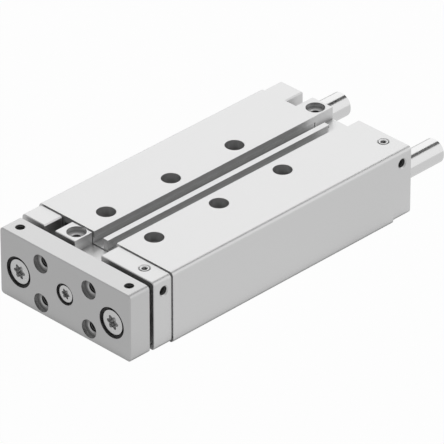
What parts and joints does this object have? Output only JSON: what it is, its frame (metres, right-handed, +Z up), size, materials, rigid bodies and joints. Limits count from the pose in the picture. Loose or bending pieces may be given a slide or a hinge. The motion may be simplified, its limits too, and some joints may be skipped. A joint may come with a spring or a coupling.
{
  "type": "guided pneumatic cylinder",
  "caption": "Flat double-acting air cylinder with parallel guide rods, a yoke plate, sensor slots and mounting holes on top and bottom.",
  "frame": {"origin": "centre of the housing's mounting face underneath", "axes": "+Y along the cylinder towards its rear, the yoke plate advances along -Y; +Z up out of the sensor slot side; +X towards the air ports"},
  "size_m": [0.0834, 0.2043, 0.036],
  "materials": {
    "profile": "extruded, matt clear anodised",
    "end_caps": "milled, matt clear anodised",
    "yoke": "milled, matt clear anodised",
    "guide_rods": "hardened, ground and polished",
    "piston_rod": "stainless, ground and polished",
    "rod_screws": "zinc plated",
    "cap_screws": "zinc plated",
    "plugs": "zinc plated",
    "seals": "moulded, matt",
    "bushes": "sintered bronze",
    "piston": "turned",
    "magnet": "sintered",
    "guide_ring": "moulded",
    "bumpers": "cast elastomer"
  },
  "bodies": {
    "housing": {"housing": "profile", "front_cap": "end_caps", "rear_cap": "end_caps", "front_cap_screws": "cap_screws", "rear_cap_screws": "cap_screws", "front_cap_seal": "seals", "rear_cap_seal": "seals", "port_plugs": "plugs", "guide_bush_front_left": "bushes", "guide_bush_front_right": "bushes", "guide_bush_rear_left": "bushes", "guide_bush_rear_right": "bushes", "guide_wiper_left": "seals", "guide_wiper_right": "seals", "rod_seal": "seals", "rod_bush": "bushes"},
    "carriage": {"yoke_plate": "yoke", "guide_rod_left": "guide_rods", "guide_rod_right": "guide_rods", "guide_rod_screws": "rod_screws", "piston_rod": "piston_rod", "piston_rod_screw": "rod_screws", "piston_front_half": "piston", "piston_rear_half": "piston", "piston_magnet": "magnet", "piston_guide_ring": "guide_ring", "piston_seal_front": "seals", "piston_seal_rear": "seals", "bumper_front": "bumpers", "bumper_rear": "bumpers"}
  },
  "joints": [
    {"name": "stroke", "type": "slide", "parent": "housing", "child": "carriage", "axis": [0, -1, 0], "range_m": [0, 0.1]}
  ]
}
